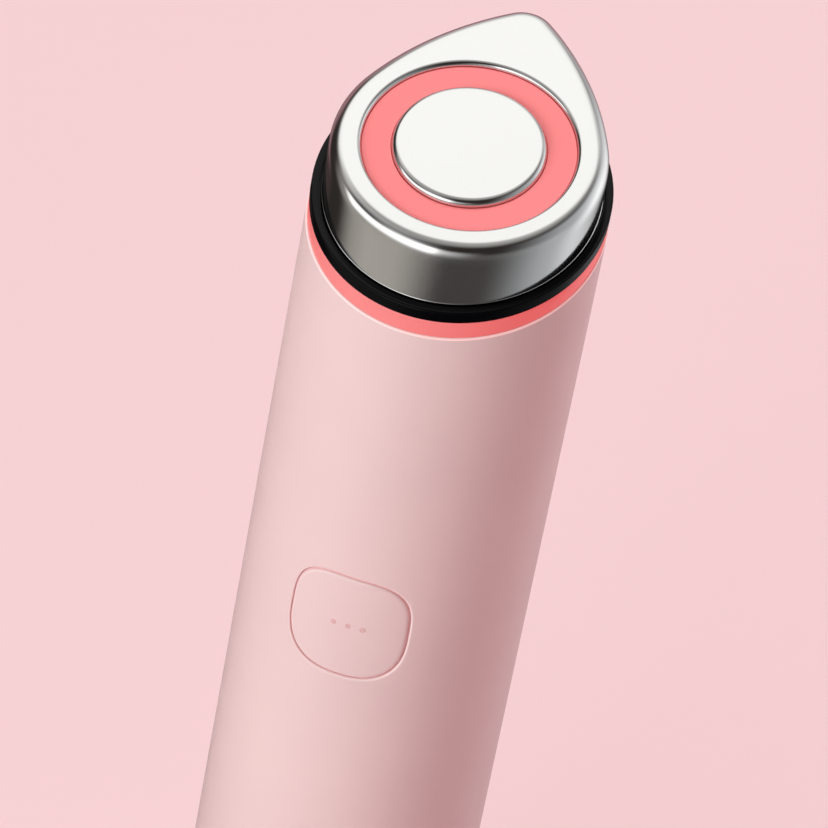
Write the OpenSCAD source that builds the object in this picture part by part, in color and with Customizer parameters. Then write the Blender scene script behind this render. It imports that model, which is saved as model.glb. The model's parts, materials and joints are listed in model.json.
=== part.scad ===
// Handheld skin booster: a round handle, cut off at a slant, with a drop-shaped treatment head.
// Z runs up the handle, the button faces -Y, and the origin is the middle of the flat base.
// Heights named _up are measured along the handle's centre line from the middle of the slanted rim.
// Depths named _deep are measured square to the treatment face, downward from it.

/* [Handle] */
// Outer diameter of the handle tube
handle_d = 37; // [36:0.5:39]
// Wall of the handle tube
handle_wall = 2; // [1.8:0.1:2.3]
// Height of the slanted rim on the centre line
rim_h = 134; // [130:1:145]
// Slant of the rim, the rings and the treatment face, in degrees
face_tilt = 21; // [17:1:22]
// Thickness of the ledge inside the foot of the handle
ledge_t = 2; // [1.6:0.2:3]

/* [Base cap] */
// Height of the cap's visible band
cap_band_h = 2.2; // [1.8:0.1:3]
// Round on the cap's lower edge
cap_edge_r = 1.4; // [0.8:0.1:1.6]
// Height of the spigot that plugs into the handle
cap_spigot_h = 5.4; // [5:0.2:7]
// Width of the charging port's shell
port_w = 8.94; // [8.9:0.02:9.1]
// Thickness of the charging port's shell, across
port_t = 3.26; // [3.2:0.02:3.4]
// How far the port's mouth lies inside the base
port_inset = 0.8; // [0.5:0.1:1.2]

/* [Rings] */
// Height of the coloured light ring above the rim
glow_up = 2.2; // [1.8:0.1:3]
// Height of the black ring above the light ring
insulator_h = 1.4; // [1.2:0.05:1.6]
// How far each ring steps in from the one below it
ring_step = 0.05; // [0.05:0.05:0.2]
// Width of the groove between the black ring's top and the metal head
foot_groove = 0.25; // [0.15:0.05:0.35]
// Length of the light ring's spigot inside the handle
glow_spigot = 2.5; // [2:0.1:3.5]

/* [Head] */
// Height of the treatment face above the rim
face_up = 10.75; // [10:0.05:12]
// Distance from the handle's centre line to the middle of the face's round part
face_shift = 1.05; // [0.4:0.05:1.2]
// Radius of the drop's round part
drop_r = 17.1; // [16.6:0.1:17.2]
// Distance from the middle of the round part to the drop's point
drop_reach = 24.1; // [22:0.1:25]
// Radius of the drop's point
drop_tip_r = 4.4; // [3.5:0.1:6]
// Radius of the drop's flanks
drop_flank_r = 41; // [36:1:60]
// Round on the face's outer edge
head_edge_r = 1.8; // [1:0.05:2]
// Radius of the head where it stands in the black ring
head_foot_r = 17.15; // [17:0.05:17.3]
// Height of the fine lip round the head's foot
foot_lip_h = 0.2; // [0.15:0.05:0.3]
// How far the head's wall starts inside that lip
foot_lip = 0.08; // [0.06:0.01:0.12]
// Wall of the metal head
head_wall = 1.2; // [1:0.1:1.4]
// Thickness of the metal at the face
face_plate_t = 1.35; // [1.2:0.05:1.5]
// Radius of the round opening in the face
window_r = 13.2; // [12.8:0.1:13.4]
// Round on the opening's lip
window_lip_r = 0.6; // [0.3:0.05:0.7]

/* [Treatment face] */
// Depth of the coloured lens below the face
lens_deep = 0.6; // [0.5:0.05:0.9]
// Width of the lens's hidden flange
lens_flange = 1; // [0.7:0.1:1.1]
// Thickness of the lens's hidden flange
lens_flange_t = 0.95; // [0.8:0.05:1.2]
// Radius of the centre electrode
disc_r = 9.5; // [9:0.1:10]
// Thickness of the centre electrode's plate
disc_t = 1.9; // [1.7:0.1:2]
// How far the centre electrode stands proud of the face
disc_proud = 0.3; // [0:0.05:0.4]
// Round on the centre electrode's edge
disc_edge_r = 0.6; // [0.3:0.05:0.8]
// Radius of the centre electrode's stem
stem_r = 3; // [2.5:0.1:3.5]
// Length of the centre electrode's stem
stem_l = 3.5; // [3.3:0.1:3.8]
// Number of lamps under the lens
face_led_count = 10; // [6:1:12]

/* [Button] */
// Width of the button
button_w = 15.4; // [14:0.1:16]
// Height of the button
button_h = 14.5; // [13.5:0.1:15.5]
// Distance from the middle of the rim down to the middle of the button
button_drop = 51; // [46:1:54]
// Squareness of the button's upper half
button_top_n = 3.3; // [2.6:0.1:4]
// Squareness of the button's lower half
button_foot_n = 2.75; // [2.4:0.05:3.6]
// Gap round the button
button_gap = 0.25; // [0.2:0.05:0.3]
// Travel of the button
button_travel = 0.35; // [0.25:0.05:0.4]
// Thickness of the button's skin
button_skin = 1.6; // [1.4:0.1:2]
// Width of the flange that keeps the button in
button_flange = 1.2; // [0.9:0.1:1.4]
// Radius of the small light points in the button
dot_r = 0.42; // [0.3:0.02:0.5]
// Spacing of the light points
dot_pitch = 1.93; // [1.6:0.01:2.2]
// Drop of the switch below the light points
switch_drop = 4; // [3.8:0.1:4.2]

/* [Electronics] */
// Thickness of the circuit boards
board_t = 1.2; // [1:0.1:1.6]
// Distance from the handle's bore to the main board's front
board_deep = 7.5; // [7.2:0.1:7.8]
// Gap between the main board's long edges and the handle's bore
board_side_gap = 1.3; // [0.8:0.1:1.8]
// Distance from the frame's top plate down to the main board's end
board_end_gap = 10; // [8:0.5:12]
// Diameter of the battery cell
cell_d = 18; // [16:0.5:18]
// Length of the battery cell
cell_l = 50; // [45:1:52]
// Distance from the frame's foot up to the cell
cell_lift = 6; // [5:0.5:8]
// Diameter of the motor's can
motor_d = 8; // [7:0.5:9]
// Length of the motor's can
motor_l = 16; // [14:1:18]
// Radius of the motor's shaft
shaft_r = 0.6; // [0.5:0.05:0.75]
// Radius of the off-centre weight
weight_r = 3.8; // [3:0.1:4.2]
// Length of the off-centre weight
weight_l = 5; // [4:0.5:6]

/* [Fits] */
// Gap between fixed pieces that plug together
plug_gap = 0.1; // [0.05:0.05:0.15]
// Gap of a pin that slides or turns in its bore
running_gap = 0.05; // [0.03:0.01:0.08]
// Radius of the small screws
screw_r = 1; // [0.8:0.1:1.1]

/* [Hidden] */
$fn = 96;
big = 120;
screw_head_h = 1.3;
handle_r = handle_d / 2;
bore_r = handle_r - handle_wall;
frame_r = bore_r - 2 * plug_gap;
tilt_cos = cos(face_tilt);
tilt_tan = tan(face_tilt);

// Foot of the handle
ledge_z = cap_band_h + cap_spigot_h + 0.5;
ledge_bore_r = bore_r - 4.6;
foot_z = ledge_z + ledge_t;
foot_t = 2.5;
charge_board_r = ledge_bore_r - 0.3;
charge_board_z = foot_z - board_t;
port_wall = 0.3;
bead_r = 0.35;
bead_z = cap_band_h + 1.3;
cord_r = 0.7;
cord_deep = 2 * cord_r - plug_gap + 0.05;
base_cord_z = cap_band_h + cap_spigot_h - 2.4;

// Slanted stack, as heights above the middle of the rim
glow_r = handle_r - 0.05;
insulator_r = glow_r - ring_step;
insulator_top_up = glow_up + insulator_h;
seat_up = insulator_top_up - 0.75;
stack_bore_r = 10.6;
mount_top_up = -glow_spigot;
mount_flange_t = 2.6;
screw_circle_r = 13.2;
head_screw_seat_r = 2.1;
head_screw_up = mount_top_up - mount_flange_t + head_screw_seat_r * tilt_tan;

// Treatment face, as depths below it
shoulder_deep = face_plate_t;
lens_foot_deep = shoulder_deep + lens_flange_t;
lens_flange_r = window_r - plug_gap + lens_flange;
led_t = 0.6;
face_board_deep = lens_foot_deep + led_t + 0.2;
face_board_t = 1;
face_board_r = lens_flange_r - 0.4;
face_board_bore_r = stem_r + 1.2;
disc_foot_deep = disc_t;
stem_foot_deep = disc_foot_deep + stem_l;
contact_t = 0.3;
contact_r = stem_r + 3;
boss_top_up = face_up - (face_board_deep + face_board_t + 0.2) / tilt_cos;
boss_r = 2.9;
carrier_r = drop_r - head_wall - 1;
cable_w = 8;
cable_t = 0.3;

// Frame and main board
plate_t = 2.5;
mount_len = 15.5;
plate_z = rim_h - mount_len - plate_t;
mount_z = plate_z + plate_t;
frame_screw_circle_r = frame_r - 3.75;
board_front = bore_r - board_deep;
board_w = 2 * (sqrt(bore_r ^ 2 - board_front ^ 2) - board_side_gap);
board_z = foot_z + foot_t + 13.4;
board_l = plate_z - board_end_gap - board_z;
board_back_y = -board_front + board_t;
rail_t = 1.8;
rail_x = board_w / 2 - 2.1;
rail_back_y = bore_r - 6.5;
holder_low_z = rim_h - button_drop - button_h / 2;
transformer_w = 9;
transformer_h = 7;
transformer_t = 4.4;
transformer_z = holder_low_z - transformer_h / 2 - 5.7;
capacitor_r = 2.5;
capacitor_l = 9;
capacitor_x = 6.5;
capacitor_z = transformer_z - transformer_h / 2 - 1.5 - capacitor_l;
chip_w = 7;
chip_t = 1;
small_chip_w = 4;
small_chip_z = board_z + 9;
cable_foot_z = board_z + board_l - 6.5;
board_screw_x = board_w / 2 - 1.9;
board_screw_zs = [board_z + 5, board_z + board_l - 5];

// Battery and motor
cell_z = foot_z + foot_t + cell_lift;
cell_y = frame_r - 1.6 - cell_d / 2;
rib_t = 2;
cell_gap = 0.15;
cell_play = 0.2;
lead_r = 0.6;
rib_zs = [cell_z - rib_t, cell_z + cell_l * 0.33, cell_z + cell_l * 0.7, cell_z + cell_l];
boot_t = 1;
motor_top_z = plate_z - weight_l - 6.5;
motor_z = motor_top_z - motor_l;
boot_r = motor_d / 2 + running_gap + boot_t;
seat_block = 2 * boot_r + 4;
motor_y = board_back_y + 1.2 * chip_t + 3.55 + seat_block / 2;
weight_z = motor_top_z + 1.2;

// Button
button_z = rim_h - button_drop;
dot_z = button_z + 0.3;
switch_z = dot_z - switch_drop;
switch_size = 4.2;
switch_body_t = 3.4;
plunger_r = 1.2;
flange_out_r = bore_r - 0.15;
flange_t = 0.9;
flange_in_r = flange_out_r - flange_t;
cap_in_r = handle_r - button_skin;
pad_t = 0.5;
pad_out_r = flange_in_r - button_travel - 0.15;
holder_wall = 0.9;
plunger_tip_y = -(board_front + switch_body_t + 1.6);
nub_foot_r = -plunger_tip_y;
level_led_t = 0.6;

// Points on an arc of radius r round c, from angle a to angle b
function arc(c, r, a, b, n) = [for (i = [0:n]) let (t = a + (b - a) * i / n) c + r * [cos(t), sin(t)]];

// Outline whose halves above and below the middle are superellipses of their own squareness
function squircle(w, h, top_n, foot_n, steps = 72) = [
    for (i = [0:steps - 1])
        let (a = 360 * i / steps, n = a < 180 ? top_n : foot_n, c = cos(a), s = sin(a))
            [w / 2 * sign(c) * pow(abs(c), 2 / n), h / 2 * sign(s) * pow(abs(s), 2 / n)]
];

// Drop: a round part, a small round point and two long flanks that are tangent to both
tip_y = drop_reach - drop_tip_r;
flank_y = (tip_y ^ 2 + (drop_flank_r - drop_r) ^ 2 - (drop_flank_r - drop_tip_r) ^ 2) / (2 * tip_y);
flank_x = sqrt((drop_flank_r - drop_r) ^ 2 - flank_y ^ 2);
flank_a0 = atan2(-flank_y, flank_x);
flank_a1 = atan2(tip_y - flank_y, flank_x);
function drop_half(inset) = concat(
    arc([0, 0], drop_r - inset, -90, flank_a0 - 2, 24),
    arc([-flank_x, flank_y], drop_flank_r - inset, flank_a0, flank_a1, 12),
    arc([0, tip_y], drop_tip_r - inset, flank_a1 + 5, 90, 7));
module drop(inset = 0) {
    half = drop_half(inset);
    polygon(concat(half, [for (i = [len(half) - 2:-1:1]) [-half[i].x, half[i].y]]));
}

// Planes that share the rim's slant
module at_up(up) translate([0, 0, rim_h + up]) rotate([face_tilt, 0, 0]) children();
module in_face(deep = 0) at_up(face_up) translate([0, -face_shift, -deep]) children();
module all_above(up) at_up(up) translate([-big / 2, -big / 2, 0]) cube([big, big, big]);
module all_below(up) at_up(up) translate([-big / 2, -big / 2, -2 * big]) cube([big, big, 2 * big]);

// Upright cylinder cut off by two slanted planes
module slant_cylinder(r, low_up, high_up) {
    spare = r * tilt_tan + 1;
    difference() {
        translate([0, 0, rim_h + low_up - spare]) cylinder(r = r, h = high_up - low_up + 2 * spare);
        all_above(high_up);
        all_below(low_up);
    }
}

// Cylinder that goes down, square to the face, between two depths
module face_cylinder(r, top_deep, foot_deep) in_face(foot_deep) cylinder(r = r, h = foot_deep - top_deep);

// Upright screws through the slanted stack, each placed on the slanted plane at the given height
module each_head_screw(up) for (a = [0, 120, 240]) {
    x = screw_circle_r * sin(a);
    y = -screw_circle_r * cos(a);
    translate([x, y, rim_h + up + y * tilt_tan]) children();
}
module each_frame_screw() for (a = [60, 180, 300]) rotate([0, 0, a]) translate([0, -frame_screw_circle_r, 0]) children();
module each_base_screw() for (x = [-1, 1]) translate([x * (bore_r - 2.6), 0, 0]) children();
module each_board_screw() for (x = [-1, 1], z = board_screw_zs) translate([x * board_screw_x, 0, z]) children();

// Screw along Z, head at the bottom, with its seat at the origin
module screw(length) {
    translate([0, 0, -screw_head_h]) difference() {
        cylinder(r = 1.8 * screw_r, h = screw_head_h);
        translate([0, 0, -0.1]) cylinder(r = screw_r, h = 0.8, $fn = 6);
    }
    cylinder(r = screw_r, h = length);
}
module ring_cord(r, z) translate([0, 0, z]) rotate_extrude() translate([r - 0.02, 0]) circle(r = cord_r, $fn = 32);

// Solid behind the button's outline, grown by extra, between two radii of the handle
module button_prism(extra) {
    translate([0, 0, button_z]) rotate([90, 0, 0])
        linear_extrude(handle_d) polygon(squircle(button_w + 2 * extra, button_h + 2 * extra, button_top_n, button_foot_n));
}
module button_core(extra, out_r) intersection() {
    button_prism(extra);
    translate([0, 0, button_z - button_h]) cylinder(r = out_r, h = 2 * button_h);
}

module handle_shell() color("#e3babb") {
    ring_h = rim_h + handle_r * tilt_tan + 1;
    difference() {
        translate([0, 0, cap_band_h]) cylinder(r = handle_r, h = ring_h);
        all_above(0);
        translate([0, 0, foot_z]) cylinder(r = bore_r, h = ring_h);
        translate([0, 0, cap_band_h - 1]) cylinder(r = bore_r, h = ledge_z - cap_band_h + 1);
        cylinder(r = ledge_bore_r, h = foot_z + 1);
        translate([0, 0, bead_z]) rotate_extrude() translate([bore_r - 0.1, 0]) circle(r = bead_r + plug_gap, $fn = 24);
        each_base_screw() cylinder(r = screw_r + plug_gap, h = foot_z + 1);
        button_prism(button_gap);
    }
}

module base_cap() color("#e0b4b5") {
    spigot_r = bore_r - plug_gap;
    cap_top = cap_band_h + cap_spigot_h;
    profile = concat([[0, 0]], arc([handle_r - cap_edge_r, cap_edge_r], cap_edge_r, -90, 0, 8),
        [[handle_r, cap_band_h], [spigot_r, cap_band_h]],
        arc([spigot_r - 0.1, bead_z], bead_r, -70, 70, 6),
        [[spigot_r, base_cord_z - cord_r - 0.05], [spigot_r - cord_deep, base_cord_z - cord_r - 0.05],
        [spigot_r - cord_deep, base_cord_z + cord_r + 0.05], [spigot_r, base_cord_z + cord_r + 0.05],
        [spigot_r, cap_top], [spigot_r - 3, cap_top], [spigot_r - 3, cap_band_h], [0, cap_band_h]]);
    difference() {
        rotate_extrude() polygon(profile);
        port_outline(plug_gap + 0.1, -1, cap_band_h + 1);
        port_outline(0.6, -1, port_inset - 0.1);
        each_base_screw() translate([0, 0, ledge_z - screw_head_h - 0.1]) cylinder(r = 2.2 * screw_r, h = big);
    }
}
module base_seal() color("#3a3a3d") ring_cord(bore_r - cord_r, base_cord_z);
module base_screws() color("#b8bcc0") each_base_screw() translate([0, 0, ledge_z]) screw(ledge_t + foot_t - 0.6);

// Rounded slot of the charging port, grown by extra all round
module port_outline(extra, z0, z1) {
    r = port_t / 2 + extra;
    span = (port_w - port_t) / 2;
    translate([0, 0, z0]) {
        for (x = [-span, span]) translate([x, 0, 0]) cylinder(r = r, h = z1 - z0);
        translate([-span, -r, 0]) cube([2 * span, 2 * r, z1 - z0]);
    }
}
module charge_port_shell() color("#c4c8cc") difference() {
    port_outline(0, port_inset, charge_board_z);
    port_outline(-port_wall, port_inset - 1, charge_board_z - 0.8);
}
module charge_port_tongue() color("#26262a") {
    translate([-3.3, -0.35, port_inset + 0.7]) cube([6.6, 0.7, charge_board_z - 0.8 - port_inset - 0.7]);
    translate([-3.6, -1, charge_board_z - 2.4]) cube([7.2, 2, 1.6]);
}
module charge_board() color("#1f6b45") translate([0, 0, charge_board_z]) cylinder(r = charge_board_r, h = board_t);
module charge_leads() color("#b02a2a") for (x = [-1, 1]) {
    translate([x * 6, board_back_y + lead_r + 0.05, foot_z]) cylinder(r = lead_r, h = board_z + 8 - foot_z, $fn = 24);
}

// Plastic spine: foot, two side rails, ribs round the battery, motor seat and top plate
module inner_frame() color("#d9d9dc") difference() {
    union() {
        translate([0, 0, foot_z]) cylinder(r = frame_r, h = foot_t);
        translate([0, 0, plate_z]) cylinder(r = frame_r, h = plate_t);
        frame_rails();
        for (z = rib_zs) frame_slice(z, rib_t);
        motor_seat();
        each_board_screw() translate([0, board_back_y, 0]) rotate([-90, 0, 0]) cylinder(r = 2.2, h = 4.6);
    }
    cylinder(r = 5.4, h = cell_z - rib_t - 1);
    translate([0, 0, plate_z - 1]) cylinder(r = 9.5, h = plate_t + 2);
    translate([-7, board_back_y - 0.2, foot_z - 1]) cube([14, 2.4, foot_t + 2]);
    cell_space();
    translate([0, cell_y, cell_z + cell_l - 1]) cylinder(r = 4, h = rib_t + 2);
    translate([0, motor_y, motor_z]) cylinder(r = boot_r + plug_gap, h = big / 2);
    each_base_screw() cylinder(r = screw_r + plug_gap, h = foot_z + foot_t + 1);
    each_frame_screw() translate([0, 0, plate_z - 1]) cylinder(r = screw_r + plug_gap, h = plate_t + 2);
    each_board_screw() translate([0, board_back_y - 1, 0]) rotate([-90, 0, 0]) cylinder(r = screw_r + plug_gap, h = 4.8);
}
module frame_rails() intersection() {
    difference() {
        translate([0, 0, foot_z]) cylinder(r = frame_r, h = plate_z - foot_z + 1);
        cylinder(r = frame_r - rail_t, h = big * 2);
    }
    for (x = [rail_x, -big / 2 - rail_x]) translate([x, board_back_y, 0])
        cube([big / 2, rail_back_y - board_back_y, 2 * big]);
}
module frame_slice(z, t) intersection() {
    translate([0, 0, z]) cylinder(r = frame_r, h = t);
    translate([-big / 2, board_back_y + 2.2, z]) cube([big, big, t]);
}
module cell_space() translate([0, cell_y, cell_z]) {
    cylinder(r = cell_d / 2 + cell_gap, h = cell_l);
    translate([-cell_d / 2 - cell_gap, 0, 0]) cube([cell_d + 2 * cell_gap, big, cell_l]);
}
module motor_seat() intersection() {
    translate([0, 0, motor_z - rib_t]) union() {
        translate([-seat_block / 2, motor_y - seat_block / 2, 0]) cube([seat_block, seat_block, motor_l + rib_t]);
        translate([-big / 2, motor_y - 1.5, 0]) cube([big, 3, motor_l + rib_t]);
    }
    cylinder(r = frame_r, h = 2 * big);
}

module main_board() color("#1f6b45") difference() {
    translate([-board_w / 2, -board_front, board_z]) cube([board_w, board_t, board_l]);
    each_board_screw() translate([0, -board_front - 1, 0]) rotate([-90, 0, 0]) cylinder(r = screw_r + plug_gap, h = board_t + 2);
}
module board_screws() color("#b8bcc0") each_board_screw() translate([0, -board_front, 0]) rotate([-90, 0, 0]) screw(4.6);

// Block that stands on the main board, on its front side (-1) or its back (1)
module on_board(side, x, z, w, t, h) {
    y = side < 0 ? -board_front - t : board_back_y;
    translate([x - w / 2, y, z - h / 2]) cube([w, t, h]);
}
module board_chips() color("#2b2b2f") {
    on_board(-1, 0, capacitor_z - chip_w / 2 - 1, chip_w, chip_t, chip_w);
    on_board(-1, chip_w, small_chip_z, small_chip_w, 0.9 * chip_t, 1.2 * small_chip_w);
    on_board(-1, -chip_w, small_chip_z, 1.2 * small_chip_w, 0.9 * chip_t, small_chip_w);
    on_board(-1, 0, cable_foot_z, cable_w, 1.6 * chip_t, small_chip_w);
    on_board(1, 0, board_z + board_l - 16, 1.2 * small_chip_w, 1.2 * chip_t, 1.2 * small_chip_w);
}
module pulse_transformer() color("#8a5a2b") {
    on_board(-1, 0, transformer_z, transformer_w, transformer_t, transformer_h);
    on_board(-1, 0, transformer_z, 0.7 * transformer_w, transformer_t + 0.6, 0.7 * transformer_h);
}
module storage_capacitors() color("#3b3f55") for (x = [-1, 1]) {
    translate([x * capacitor_x, -board_front - capacitor_r - 0.1, capacitor_z]) cylinder(r = capacitor_r, h = capacitor_l);
    on_board(-1, x * capacitor_x, capacitor_z + capacitor_l / 2, capacitor_r, 0.4, 0.6 * capacitor_l);
}
module level_leds() color("#fbeeea") for (x = [-1, 0, 1]) on_board(-1, x * dot_pitch, dot_z, 1, level_led_t, 1.6);

module switch_body() color("#2b2b2f") difference() {
    on_board(-1, 0, switch_z, switch_size, switch_body_t, switch_size);
    translate([0, -board_front - 1, switch_z]) rotate([90, 0, 0]) cylinder(r = plunger_r + running_gap, h = 9);
}
module switch_plunger() color("#e8e2d6") {
    foot_y = -board_front - 1 - button_travel - 0.15;
    translate([0, foot_y, switch_z]) rotate([90, 0, 0]) cylinder(r = plunger_r, h = foot_y - plunger_tip_y);
}
module button_holder() color("#2f2f33") difference() {
    button_core(0, pad_out_r - pad_t);
    button_prism(-holder_wall);
    translate([-big / 2, -board_front, 0]) cube([big, big, 2 * big]);
}
module button_pad() color("#c9c4c4") difference() {
    button_core(0, pad_out_r);
    button_prism(-holder_wall);
    translate([0, 0, button_z - button_h - 1]) cylinder(r = pad_out_r - pad_t, h = 2 * button_h + 2);
}
module button_cap() color("#e3babb") {
    difference() {
        union() {
            button_core(0, handle_r);
            button_core(button_flange, flange_out_r);
        }
        button_core(-1.6, cap_in_r);
        translate([0, 0, button_z - button_h]) cylinder(r = flange_in_r, h = 2 * button_h);
        guide_pins(dot_r + 0.03);
    }
    translate([0, -nub_foot_r, switch_z]) rotate([90, 0, 0]) cylinder(r = 1.5, h = cap_in_r + 0.3 - nub_foot_r);
}
module guide_pins(r) for (x = [-1, 0, 1]) translate([x * dot_pitch, -cap_in_r + 1, dot_z]) rotate([90, 0, 0])
    cylinder(r = r, h = 5, $fn = 24);
module button_light_guide() color("#d99a9b") intersection() {
    union() {
        guide_pins(dot_r);
        translate([-dot_pitch - 1, -cap_in_r + 0.35, dot_z - 0.9]) cube([2 * dot_pitch + 2, cap_in_r - 0.35
            - board_front - level_led_t - button_travel - 0.3, 1.8]);
    }
    translate([0, 0, button_z - button_h]) cylinder(r = handle_r, h = 2 * button_h);
}

module battery_cell() color("#4d7fb3") {
    translate([0, cell_y, cell_z]) cylinder(r = cell_d / 2, h = cell_l - cell_play);
}
module battery_pad() color("#4a4a4e") intersection() {
    difference() {
        translate([0, 0, cell_z + 5]) cylinder(r = frame_r, h = cell_l - 10);
        translate([0, cell_y, cell_z]) cylinder(r = cell_d / 2 + cell_gap, h = cell_l);
    }
    translate([-5, cell_y + 4, 0]) cube([10, big, 2 * big]);
}
module battery_leads() color("#b02a2a") for (x = [-1, 1]) translate([x * 2.2, 0, cell_z + cell_l - cell_play]) {
    rise = rib_t + 1.5;
    translate([0, board_back_y, rise]) rotate([-90, 0, 0]) cylinder(r = lead_r, h = cell_y - board_back_y, $fn = 24);
    translate([0, cell_y, 0]) cylinder(r = lead_r, h = rise, $fn = 24);
    translate([0, cell_y, rise]) sphere(r = lead_r, $fn = 24);
}

module motor_can() color("#b9bec4") translate([0, motor_y, motor_z]) difference() {
    union() {
        cylinder(r = motor_d / 2, h = motor_l);
        cylinder(r = 1.6, h = motor_l + 0.7);
    }
    translate([0, 0, 2]) cylinder(r = shaft_r + running_gap, h = big);
}
module motor_boot() color("#55555a") translate([0, motor_y, motor_z]) difference() {
    cylinder(r = boot_r, h = motor_l - 1.5);
    translate([0, 0, -1]) cylinder(r = motor_d / 2 + running_gap, h = motor_l + 2);
}
module motor_shaft() color("#d5d8db") translate([0, motor_y, motor_z + 2.2])
    cylinder(r = shaft_r, h = weight_z + weight_l + 0.6 - motor_z - 2.2);
module motor_weight() color("#a58b4f") translate([0, motor_y, weight_z]) difference() {
    union() {
        cylinder(r = shaft_r + 1, h = weight_l);
        intersection() {
            cylinder(r = weight_r, h = weight_l);
            translate([-big / 2, 0, 0]) cube([big, big, weight_l]);
        }
    }
    translate([0, 0, -1]) cylinder(r = shaft_r + 0.01, h = weight_l + 2);
}

// Plug between the frame's flat top plate and the slanted rings
module head_mount() color("#d9d9dc") {
    mount_r = bore_r - plug_gap;
    inner_r = mount_r - 2.4;
    flange_low_up = mount_top_up - mount_flange_t;
    cord_z = mount_z + 2.4;
    difference() {
        translate([0, 0, mount_z]) cylinder(r = mount_r, h = mount_len + big / 4);
        all_above(mount_top_up);
        difference() {
            translate([0, 0, mount_z - 1]) cylinder(r = inner_r, h = mount_len + big / 4);
            all_above(flange_low_up);
            each_frame_screw() cylinder(r = 2.8, h = mount_z + 4.6);
        }
        slant_cylinder(stack_bore_r, flange_low_up - 1, 1);
        each_head_screw(head_screw_up) translate([0, 0, -1]) cylinder(r = screw_r + plug_gap, h = big / 4);
        each_head_screw(head_screw_up) translate([0, 0, -big / 12]) cylinder(r = head_screw_seat_r, h = big / 12);
        each_frame_screw() translate([0, 0, mount_z - 1]) cylinder(r = screw_r + plug_gap, h = 5);
        translate([0, 0, cord_z]) rotate_extrude() translate([mount_r - cord_deep, -cord_r - 0.05]) square([3, 2 * cord_r + 0.1]);
    }
}
module mount_seal() color("#3a3a3d") ring_cord(bore_r - cord_r, mount_z + 2.4);
module frame_screws() color("#b8bcc0") each_frame_screw() translate([0, 0, plate_z]) screw(plate_t + 3.6);
module head_screws() color("#b8bcc0") each_head_screw(head_screw_up) screw(boss_top_up - head_screw_up - 0.8);

module light_ring() color("#f0605f") difference() {
    union() {
        slant_cylinder(glow_r, 0, glow_up);
        slant_cylinder(bore_r - plug_gap, mount_top_up, 0.5);
    }
    slant_cylinder(stack_bore_r, mount_top_up - 1, glow_up + 1);
    each_head_screw(mount_top_up - 2) cylinder(r = screw_r + plug_gap, h = big / 4);
}
module insulator_ring() color("#141417") difference() {
    slant_cylinder(insulator_r, glow_up, insulator_top_up);
    slant_cylinder(head_foot_r + plug_gap, seat_up, insulator_top_up + 1);
    slant_cylinder(head_foot_r + foot_groove, seat_up + 0.3, insulator_top_up + 1);
    slant_cylinder(stack_bore_r, glow_up - 1, seat_up + 1);
    each_head_screw(glow_up - 2) cylinder(r = screw_r + plug_gap, h = big / 4);
}

// Loft from the round foot to the drop, with the face's edge rounded
module head_loft(inset, edge, top_deep) {
    hull() {
        slant_cylinder(head_foot_r - foot_lip - inset, insulator_top_up, insulator_top_up + 0.02, $fn = 72);
        for (b = [0:22.5:90]) in_face(top_deep + edge * (1 - cos(b)) + 0.02)
            linear_extrude(0.02) drop(inset + edge * (1 - sin(b)));
    }
}
module head_shell() color("#d6d6d4") {
    foot_bore_r = head_foot_r - head_wall;
    difference() {
        union() {
            head_loft(0, head_edge_r, 0);
            slant_cylinder(head_foot_r, seat_up, insulator_top_up + foot_lip_h);
        }
        difference() {
            union() {
                head_loft(head_wall, head_edge_r - 0.6, face_plate_t);
                slant_cylinder(foot_bore_r, seat_up - 1, insulator_top_up + foot_lip_h);
            }
            difference() {
                each_head_screw(seat_up - 3) cylinder(r = boss_r, h = big / 4);
                all_above(boss_top_up);
            }
        }
        each_head_screw(seat_up - 3) cylinder(r = screw_r + running_gap, h = boss_top_up - seat_up + 2.6);
        in_face() rotate_extrude() polygon(concat([[0, -face_plate_t - 1], [window_r, -face_plate_t - 1]],
            arc([window_r + window_lip_r, -window_lip_r], window_lip_r, 180, 90, 6),
            [[window_r + window_lip_r, 1], [0, 1]]));
    }
}
module electrode_carrier() color("#e9e9ea") difference() {
    slant_cylinder(carrier_r, seat_up, face_up);
    in_face(lens_foot_deep) cylinder(r = big / 2, h = big / 4);
    face_cylinder(face_board_r + plug_gap, 0, face_board_deep + face_board_t);
    face_cylinder(contact_r + plug_gap, 0, stem_foot_deep + contact_t);
    each_head_screw(seat_up - 3) cylinder(r = boss_r + 0.3, h = big / 4);
    translate([-cable_w / 2 - 0.6, cable_top().x - 0.8, mount_z]) cube([cable_w + 1.2, 2, big]);
}
module face_lens() color("#fb8587") difference() {
    union() {
        face_cylinder(window_r - plug_gap, lens_deep, lens_foot_deep);
        face_cylinder(lens_flange_r, shoulder_deep, lens_foot_deep);
    }
    face_cylinder(disc_r + plug_gap, -1, disc_foot_deep);
    face_cylinder(stem_r + plug_gap, -1, lens_foot_deep + 1);
}
module center_electrode() color("#dededc") {
    in_face() rotate_extrude() polygon(concat([[0, -disc_foot_deep - stem_l], [stem_r, -disc_foot_deep - stem_l],
        [stem_r, -disc_foot_deep], [disc_r, -disc_foot_deep]],
        arc([disc_r - disc_edge_r, disc_proud - disc_edge_r], disc_edge_r, 0, 90, 6), [[0, disc_proud]]));
}
module center_contact() color("#c9a24c") difference() {
    face_cylinder(contact_r, stem_foot_deep, stem_foot_deep + contact_t);
    for (a = [0:120:240]) in_face(stem_foot_deep + 1) rotate([0, 0, a + 30]) translate([stem_r + 0.6, -0.5, 0]) cube([1.4, 1, 2]);
}
module face_led_board() color("#f2f2ee") difference() {
    face_cylinder(face_board_r, face_board_deep, face_board_deep + face_board_t);
    face_cylinder(face_board_bore_r, 0, face_board_deep + 2);
}
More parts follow.
